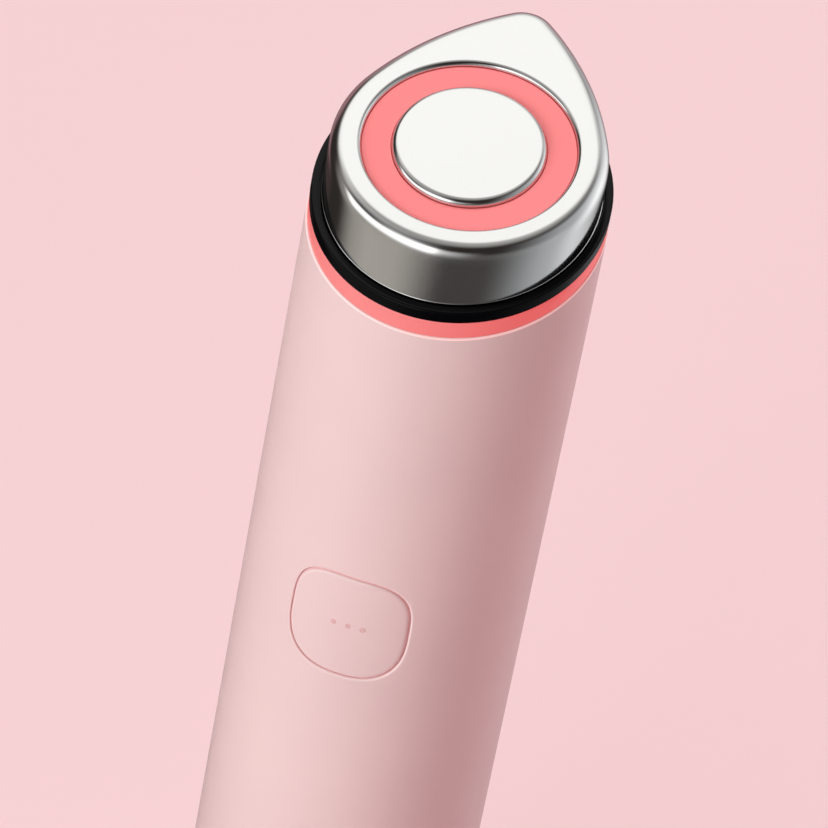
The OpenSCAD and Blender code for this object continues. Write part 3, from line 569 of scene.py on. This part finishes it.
# The light guide: a bar behind the button's skin with three pins that come up flush through it
pins = {"height": 83.2, "pitch": 1.93, "radius": 0.36, "offset": 0.3, "play": 0.01, "dome": 0.02,
        "corners": 32, "rounding": ((1, 0.02), (0.98, 0.004)),
        "domeRings": ((0.8, 0.4), (0.5, 0.8), (0.15, 1)),
        "back": 10.3, "bar": 16.5, "barWidth": 5.86, "barHeight": 1.8, "barEdge": 0.15, "root": 0.3,
        "drillFront": 20, "drillBack": 16, "drillDome": 0.1}
pinPlaces = [pins["offset"] + side * pins["pitch"] for side in (-1, 0, 1)]


def pinRod(bm, x, radius, front, back, dome):  # lies along Y, its front end slightly domed
    ring = bmesh.ops.create_circle(bm, segments=pins["corners"], radius=radius)["verts"]
    for vert in ring:
        vert.co = Vector((vert.co.x + x, -back, vert.co.y + pins["height"]))
    edges = list({edge for vert in ring for edge in vert.link_edges})
    bmesh.ops.edgenet_fill(bm, edges=edges)
    for share, deep in pins["rounding"] + tuple((share, -rise * dome) for share, rise in pins["domeRings"]):
        def place(vert):
            out = Vector((vert.co.x - x, 0, vert.co.z - pins["height"])).normalized()
            return Vector((x, deep - front, pins["height"])) + out * radius * share
        edges = growRing(bm, edges, place)
    bmesh.ops.edgenet_fill(bm, edges=edges)


def drillPins(cap):  # three through holes, cut with a Boolean whose result becomes the cap's mesh
    bm = bmesh.new()
    for x in pinPlaces:
        pinRod(bm, x, pins["radius"] + pins["play"], pins["drillFront"], pins["drillBack"], pins["drillDome"])
    bmesh.ops.recalc_face_normals(bm, faces=bm.faces)
    drills = meshObject("pinDrills", bm)
    cut = cap.modifiers.new("pinHoles", "BOOLEAN")
    cut.operation, cut.solver, cut.object = "DIFFERENCE", "EXACT", drills
    bpy.context.view_layer.update()
    drilled = bpy.data.meshes.new_from_object(cap.evaluated_get(bpy.context.evaluated_depsgraph_get()))
    cap.modifiers.clear()
    cap.data = drilled
    bpy.data.objects.remove(drills)
    print("drilled the button cap:", len(drilled.polygons), "faces")


def makeLightGuide():
    bm = bmesh.new()
    for x in pinPlaces:
        wall = math.sqrt(handle["radius"] ** 2 - x * x)
        pinRod(bm, x, pins["radius"], wall, pins["bar"] - pins["root"], pins["dome"])
    bar = bmesh.ops.create_cube(bm, size=1)["verts"]
    depth = pins["bar"] - pins["back"]
    for vert in bar:
        vert.co = Vector((vert.co.x * pins["barWidth"], vert.co.y * depth - pins["bar"] + depth / 2,
                          vert.co.z * pins["barHeight"] + pins["height"]))
    edges = list({edge for vert in bar for edge in vert.link_edges})
    bmesh.ops.bevel(bm, geom=edges, offset=pins["barEdge"], segments=3, profile=0.5, affect="EDGES",
                    material=-1)
    newPiece("lightGuide", bm, "button", "button_light_guide", "guide_pink")


makeHandle()
makeButton()
makeLightGuide()

# The lit ring sits on the handle's rim, with a spigot inside the handle
lightRing = {"radius": 18.31, "height": 2.2, "bore": 10.6, "spigot": 16.4, "spigotDeep": 2.5, "edge": 0.12}


def makeLightRing():
    radius, height, bore = lightRing["radius"], lightRing["height"], lightRing["bore"]
    spigot, deep = lightRing["spigot"], lightRing["spigotDeep"]
    profile = [(radius, 0), (radius, height), (bore, height), (bore, -deep), (spigot, -deep), (spigot, 0)]
    bm = spinProfile(profile)
    roundEdges(bm, lightRing["edge"], segments=3)
    leanOver(bm)
    newPiece("lightRing", bm, "wand", "light_ring", "light_coral")


# The black ring: a step and a fine groove round the head's foot. Edge steps are in from the corner.
blackRing = {"radius": 18.4, "top": 3.6, "corner": 0.18, "footEdge": (0.04, 0.06), "groove": 17.4,
             "grooveUp": 3.15, "grooveEdge": ((0.07, 0), (0.02, 0.02), (0, 0.08)), "seat": 17.25,
             "seatUp": 2.85}


def makeBlackRing():
    radius, top, corner = blackRing["radius"], blackRing["top"], blackRing["corner"]
    groove, grooveUp, seat, seatUp = (blackRing[key] for key in ("groove", "grooveUp", "seat", "seatUp"))
    foot, bore = lightRing["height"], lightRing["bore"]
    footIn, footRise = blackRing["footEdge"]
    profile = [(radius - footIn, foot), (radius, foot + footRise)]
    profile += [(radius - corner * (1 - math.cos(turn)), top - corner * (1 - math.sin(turn)))
                for turn in quarterTurn(6)]
    profile += [(groove + out, top - down) for out, down in blackRing["grooveEdge"]]
    profile += [(groove, grooveUp), (seat, grooveUp), (seat, seatUp), (bore, seatUp), (bore, foot)]
    bm = spinProfile(profile)
    leanOver(bm)
    newPiece("blackRing", bm, "wand", "insulator_ring", "insulator_black")


makeLightRing()
makeBlackRing()

# The drop head: a round foot lofted to a drop on the slanted face. The drop is an arc about the middle of the
# face, two flanks and a tip. Edge is the tightest radius where the wall turns into the face, and soft opens
# it out over the first spread degrees from the wall.
head = {"foot": 17.15, "footBore": 15.95, "footUp": 2.85, "lipUp": 3.75, "footLip": 0.05,
        "footRings": ((0, 0.12), (0, 0.04), (0.02, 0.015)), "plateIn": 1.0, "round": 17.1,
        "reach": 24.1, "tip": 4.4, "flank": 41.0, "edge": 1.8, "soft": 4.0, "spread": 20.0, "wall": 1.2,
        "plate": 1.35, "innerEdge": 0.6, "window": 13.2, "lip": 0.6, "flatStart": 0.04, "corners": 384,
        "wallRings": 8, "edgeRings": 18, "lipRings": 8}


def unit(turn):
    return Vector((math.cos(turn), math.sin(turn)))


def dropPath():  # corners evenly spaced along the drop, each as its arc's centre, radius and normal's angle
    tipY = head["reach"] - head["tip"]
    fromRound, fromTip = head["flank"] - head["round"], head["flank"] - head["tip"]
    flankY = (tipY ** 2 + fromRound ** 2 - fromTip ** 2) / (2 * tipY)
    flankX = math.sqrt(fromRound ** 2 - flankY ** 2)
    low, high = math.atan2(-flankY, flankX), math.atan2(tipY - flankY, flankX)
    arcs = [((0, 0), head["round"], -math.pi / 2, low),
            ((-flankX, flankY), head["flank"], low, high),
            ((0, tipY), head["tip"], high, math.pi - high),
            ((flankX, flankY), head["flank"], math.pi - high, math.pi - low),
            ((0, 0), head["round"], math.pi - low, 1.5 * math.pi)]
    total = sum(radius * (end - start) for _, radius, start, end in arcs)
    path = []
    for k in range(head["corners"]):
        walk = total * k / head["corners"]
        for centre, radius, start, end in arcs:
            if walk <= radius * (end - start):
                path.append((Vector(centre), radius, start + walk / radius))
                break
            walk -= radius * (end - start)
    return path


def roundingPath(foot):  # from where the wall leaves it smoothly, round the edge, to the flat face
    edge, soft, spread, steps = head["edge"], head["soft"], math.radians(head["spread"]), head["edgeRings"]

    def walk(wall):  # backwards, from the face to a wall whose normal has this angle
        spots = [Vector((-edge, 0))]
        for step in range(steps):
            turn = math.pi / 2 + (wall - math.pi / 2) * (step + 0.5) / steps
            bend = edge + soft * max(0, 1 - (turn - wall) / spread) ** 2
            onward = Vector((math.sin(turn), -math.cos(turn)))
            spots.append(spots[-1] + onward * bend * (math.pi / 2 - wall) / steps)
        return spots

    low, high = math.radians(-85), math.radians(85)
    while high - low > 0.0005:  # until the wall that starts here runs into the rounding without a kink
        wall = (low + high) / 2
        if (foot - walk(wall)[-1]).dot(unit(wall)) > 0:
            low = wall
        else:
            high = wall
    return walk(wall)[::-1]


def makeHead():
    path = dropPath()
    bm = bmesh.new()
    corner = bm.verts.layers.int.new("corner")  # every ring's corners keep their number on the drop's path
    ring = bmesh.ops.create_circle(bm, segments=head["corners"], radius=1)["verts"]

    def onDrop(k, inset, deep):  # inside the drop's outline, under the face
        centre, radius, turn = path[k]
        spot = centre + (radius - inset) * unit(turn)
        return faceMatrix @ Vector((spot.x, spot.y, -deep))

    def onFoot(k, radius, up):  # the foot's corner whose wall runs the same way as the drop's
        turn = path[k][2]
        a, b = radius, radius / math.cos(slant)
        size = math.hypot(a * math.cos(turn), b * math.sin(turn))
        x, y = a * a * math.cos(turn) / size, b * b * math.sin(turn) / size * math.cos(slant)
        return Vector((x, y, stack["rim"] + up + y * math.tan(slant)))

    def onWindow(k, radius, deep):  # on a circle about the recess, under the face
        centre, reach, turn = path[k]
        spot = (centre + reach * unit(turn)).normalized() * radius
        return faceMatrix @ Vector((spot.x, spot.y, -deep))

    def grow(edges, spotOf):
        return growRing(bm, edges, lambda vert: spotOf(vert[corner]))

    foot, footUp, lipUp, footLip = head["foot"], head["footUp"], head["lipUp"], head["footLip"]
    edge, lip, wall, plate, window = head["edge"], head["lip"], head["wall"], head["plate"], head["window"]
    for vert in ring:
        share = math.atan2(vert.co.y, vert.co.x) / (2 * math.pi)
        vert[corner] = round(share * head["corners"]) % head["corners"]
        vert.co = onFoot(vert[corner], foot, footUp)
    first = bm.edges[:]
    edges = first
    for inset, under in head["footRings"] + ((footLip, 0),):
        edges = grow(edges, lambda k: onFoot(k, foot - inset, lipUp - under))
    rounding = []
    for k, (centre, radius, turn) in enumerate(path):
        start = faceMatrix.inverted() @ onFoot(k, foot - footLip, lipUp)
        out = (start.xy - centre).dot(unit(turn)) - radius
        rounding.append([(-spot.x, -spot.y) for spot in roundingPath(Vector((out, start.z)))])
    for step in range(1, head["wallRings"] + 1):
        edges = grow(edges, lambda k: onFoot(k, foot - footLip, lipUp).lerp(onDrop(k, *rounding[k][0]),
                                                                            step / head["wallRings"]))
    for step in range(1, head["edgeRings"] + 1):
        edges = grow(edges, lambda k: onDrop(k, *rounding[k][step]))
    edges = grow(edges, lambda k: onDrop(k, edge + head["flatStart"], 0))
    recess = [(window + lip + head["flatStart"], 0)]
    recess += [(window + lip * (1 - math.sin(turn)), lip * (1 - math.cos(turn)))
               for turn in quarterTurn(head["lipRings"])]
    for radius, deep in recess + [(window, plate), (window + head["plateIn"], plate)]:
        edges = grow(edges, lambda k: onWindow(k, radius, deep))
    for inset, deep in ((wall + head["innerEdge"], plate), (wall, plate + head["innerEdge"])):
        edges = grow(edges, lambda k: onDrop(k, inset, deep))
    edges = grow(edges, lambda k: onFoot(k, head["footBore"], footUp))
    bmesh.ops.bridge_loops(bm, edges=edges + first)
    newPiece("dropHead", bm, "wand", "head_shell", "head_metal", sharp=40)


makeHead()

# The lens lies in the recess, and the electrode sits in the lens. Heights are down from the face.
lens = {"radius": 13.1, "top": 0.6, "flange": 14.1, "flangeTop": 1.35, "foot": 2.3, "bore": 9.6,
        "seat": 1.9, "stemHole": 3.1}
electrode = {"radius": 9.5, "edge": 0.85, "proud": 0.3, "flatStart": 0.04, "flatRings": (4, 0.5),
             "stem": 3.0, "stemFoot": 5.4, "corners": 256}


def makeLens():
    radius, top, flange, flangeTop = lens["radius"], lens["top"], lens["flange"], lens["flangeTop"]
    foot, bore, seat, stemHole = lens["foot"], lens["bore"], lens["seat"], lens["stemHole"]
    profile = [(bore, -top), (radius, -top), (radius, -flangeTop), (flange, -flangeTop), (flange, -foot),
               (stemHole, -foot), (stemHole, -seat), (bore, -seat)]
    bm = spinProfile(profile)
    bmesh.ops.transform(bm, matrix=faceMatrix, verts=bm.verts)
    newPiece("coralLens", bm, "wand", "face_lens", "lens_coral")


def makeElectrode():
    radius, edge, proud, stem = electrode["radius"], electrode["edge"], electrode["proud"], electrode["stem"]
    bm = bmesh.new()
    ring = bmesh.ops.create_circle(bm, segments=electrode["corners"], radius=stem)["verts"]
    for vert in ring:
        vert.co.z = -electrode["stemFoot"]
    first = bm.edges[:]
    edges = first
    profile = [(stem, -lens["seat"]), (radius, -lens["seat"])]
    profile += [(radius - edge * (1 - math.cos(turn)), proud - edge * (1 - math.sin(turn)))
                for turn in quarterTurn(8)]
    profile += [(out, proud) for out in (radius - edge - electrode["flatStart"],) + electrode["flatRings"]]
    for out, up in profile:
        edges = growRing(bm, edges, lambda vert: Vector((vert.co.x, vert.co.y, 0)).normalized() * out
                         + Vector((0, 0, up)))
    bmesh.ops.edgenet_fill(bm, edges=edges)
    bmesh.ops.edgenet_fill(bm, edges=first)
    bmesh.ops.transform(bm, matrix=faceMatrix, verts=bm.verts)
    newPiece("centreElectrode", bm, "wand", "center_electrode", "head_metal")


makeLens()
makeElectrode()

# The pieces that stay as the CAD has them get their finishes
keptParts = [part for part in frame["record"]["subparts"] if part["node"] not in replacedNodes]
for part in keptParts:
    for holder in nodes[part["node"]].material_slots:
        holder.material = finishes[part["material_slot"]]
print("finished the pieces that stay:", len(keptParts))

# Pale floor, soft lamps, and the dim studio that polished metal shows
studio = {"floor": "#F9DADC", "floorGlow": 0.55, "floorSize": 6000.0, "air": "#FF8486", "airStrength": 0.265,
          "backdrop": "#F6DADC", "aimHeight": 140.0, "reflected": "#332F2D"}
lamps = {  # turn from the front, rise, distance, width, height, level on a surface that faces it, colour
    "keyLeft": (-29, 12, 2400, 2400, 1000, 1.16, "#E9FFFF"),
    "overheadBack": (-165, 74, 1400, 800, 700, 0.44, "#FFFFFF"),
    "rimRight": (140, 14, 2400, 1330, 1000, 0.68, "#F2F8FF")}
spots = {  # turn, rise, radius, soft edge, colour, strength: round glows that the metal shows
    "zenith": (-112, 76, 34, 16, "#F7F7F3", 0.42),
    "crown": (-150, 80, 10, 9, "#FFFFFF", 0.2)}
cards = {  # turn, half width, soft edge, rise, half height, soft edge, colour, strength
    "overhead": (-150, 52, 26, 60, 15, 8, "#FFFFFD", 0.88),
    "overheadBack": (-166, 24, 10, 34, 13, 7, "#FFFFFF", 0.6),
    "key": (-38, 36, 5, 5, 15, 7, "#FFFFFF", 1.45),
    "keyUpper": (-24, 14, 12, 25, 8, 8, "#FFFFFF", 0.8),
    "keyTail": (-4, 14, 22, 3, 12, 12, "#FFFFFF", 0.95),
    "lowerLeft": (-44, 32, 22, -38, 26, 12, "#F4EEE4", 0.52),
    "leftGrey": (-80, 10, 8, 16, 38, 12, "#F4EEE8", 0.26),
    "highLeft": (-48, 34, 20, 46, 12, 10, "#F2F2F6", 0.27),
    "frontGrey": (60, 46, 26, -8, 12, 12, "#F4F2F0", 0.1),
    "rightGlow": (138, 26, 19, 5, 30, 36, "#FFFDFE", 0.93),
    "rightGrey": (108, 40, 34, 0, 52, 14, "#F6FBFF", 0.52),
    "backMauve": (-156, 34, 8, 0, 24, 8, "#E9AEB6", 0.42)}


def makeFloor():
    bm = bmesh.new()
    bmesh.ops.create_grid(bm, x_segments=1, y_segments=1, size=studio["floorSize"] / 2)
    floor = meshObject("studioFloor", bm)
    values = {"Base Color": linear(studio["floor"]), "Roughness": 0.9}
    paper = newFinish("paperFloor", lambda material: values)
    lit, output = (paper.node_tree.nodes[name] for name in ("Principled BSDF", "Material Output"))
    rays = addNode(paper, "ShaderNodeLightPath")
    share = addNode(paper, "ShaderNodeMath", {0: (rays, "Is Camera Ray"), 1: studio["floorGlow"]},
                    operation="MULTIPLY")
    plain = addNode(paper, "ShaderNodeEmission", {"Color": linear(studio["floor"])})
    # Part of the floor's plain colour keeps it even, and the rest keeps the object's shadow
    mixed = addNode(paper, "ShaderNodeMixShader", {0: (share, 0), 1: (lit, 0), 2: (plain, 0)})
    paper.node_tree.links.new(mixed.outputs[0], output.inputs["Surface"])
    floor.data.materials.append(paper)
    floor.visible_glossy = False  # the metal shows the dim studio below it, as in the photograph


def makeLamps():
    for name, (turn, rise, distance, width, height, level, color) in lamps.items():
        data = bpy.data.lights.new(name, "AREA")
        data.shape, data.size, data.size_y = "RECTANGLE", width * mm, height * mm
        data.color = linear(color)[:3]
        data.energy = level * (math.pi * distance * mm) ** 2
        lamp = bpy.data.objects.new(name, data)
        scene.collection.objects.link(lamp)
        lamp.visible_glossy = False  # what shines back is the cards, drawn in the air below
        aim = direction(turn, rise)
        lamp.location = (Vector((0, 0, studio["aimHeight"])) + aim * distance) * mm
        lamp.rotation_euler = aim.to_track_quat("Z", "Y").to_euler()


def makeAir():
    air = bpy.data.worlds.new("studioAir")
    scene.world = air
    air.use_nodes = True
    air.node_tree.nodes.clear()

    def window(value, centre, half, soft):  # 1 near the centre, fading out from half - soft to half + soft
        off = addNode(air, "ShaderNodeMath", {0: value, 1: centre}, operation="SUBTRACT")
        away = addNode(air, "ShaderNodeMath", {0: (off, 0)}, operation="ABSOLUTE")
        fade = {"Value": (away, 0), "From Min": half + soft, "From Max": half - soft}
        return addNode(air, "ShaderNodeMapRange", fade, interpolation_type="SMOOTHSTEP"), "Result"

    def addGlow(total, mask, color, strength):  # the total so far, and this colour where the mask is
        glow = [c * strength for c in linear(color)[:3]]
        spread = addNode(air, "ShaderNodeCombineXYZ", {0: mask, 1: mask, 2: mask})
        return addNode(air, "ShaderNodeVectorMath", {0: glow, 1: (spread, 0), 2: total},
                       operation="MULTIPLY_ADD"), "Vector"

    way = addNode(air, "ShaderNodeTexCoord")
    split = addNode(air, "ShaderNodeSeparateXYZ", {0: (way, "Generated")})
    front = addNode(air, "ShaderNodeMath", {0: (split, "Y"), 1: -1}, operation="MULTIPLY")
    riseAngle = addNode(air, "ShaderNodeMath", {0: (split, "Z")}, operation="ARCSINE")
    turnAngle = addNode(air, "ShaderNodeMath", {0: (split, "X"), 1: (front, 0)}, operation="ARCTAN2")
    rise, turn = (addNode(air, "ShaderNodeMath", {0: (angle, 0)}, operation="DEGREES")
                  for angle in (riseAngle, turnAngle))
    total = linear(studio["reflected"])[:3]
    for around, high, radius, soft, color, strength in spots.values():
        near = addNode(air, "ShaderNodeVectorMath", {0: (way, "Generated"), 1: direction(around, high)},
                       operation="DOT_PRODUCT")
        bend = addNode(air, "ShaderNodeMath", {0: (near, "Value")}, operation="ARCCOSINE")
        apart = addNode(air, "ShaderNodeMath", {0: (bend, 0)}, operation="DEGREES")
        total = addGlow(total, window((apart, 0), 0, radius, soft), color, strength)
    for centre, half, soft, high, tall, fade, color, strength in cards.values():
        circle = {0: (turn, 0), 1: centre + 180, 2: centre - 180}
        around = addNode(air, "ShaderNodeMath", circle, operation="WRAP")
        across, upright = window((around, 0), centre, half, soft), window((rise, 0), high, tall, fade)
        mask = addNode(air, "ShaderNodeMath", {0: across, 1: upright}, operation="MULTIPLY")
        total = addGlow(total, (mask, 0), color, strength)
    rays = addNode(air, "ShaderNodeLightPath")
    plain = addNode(air, "ShaderNodeBackground",
                    {"Color": linear(studio["air"]), "Strength": studio["airStrength"]})
    seen = addNode(air, "ShaderNodeBackground", {"Color": linear(studio["backdrop"]), "Strength": 1.0})
    mirrored = addNode(air, "ShaderNodeBackground", {"Color": total, "Strength": 1.0})
    mixed = addNode(air, "ShaderNodeMixShader", {0: (rays, "Is Glossy Ray"), 1: (plain, 0), 2: (mirrored, 0)})
    mixed = addNode(air, "ShaderNodeMixShader", {0: (rays, "Is Camera Ray"), 1: (mixed, 0), 2: (seen, 0)})
    addNode(air, "ShaderNodeOutputWorld", {"Surface": (mixed, 0)})


makeFloor()
makeLamps()
makeAir()
print("studio lit:", len(lamps), "lamps,", len(spots) + len(cards), "reflected glows and cards")
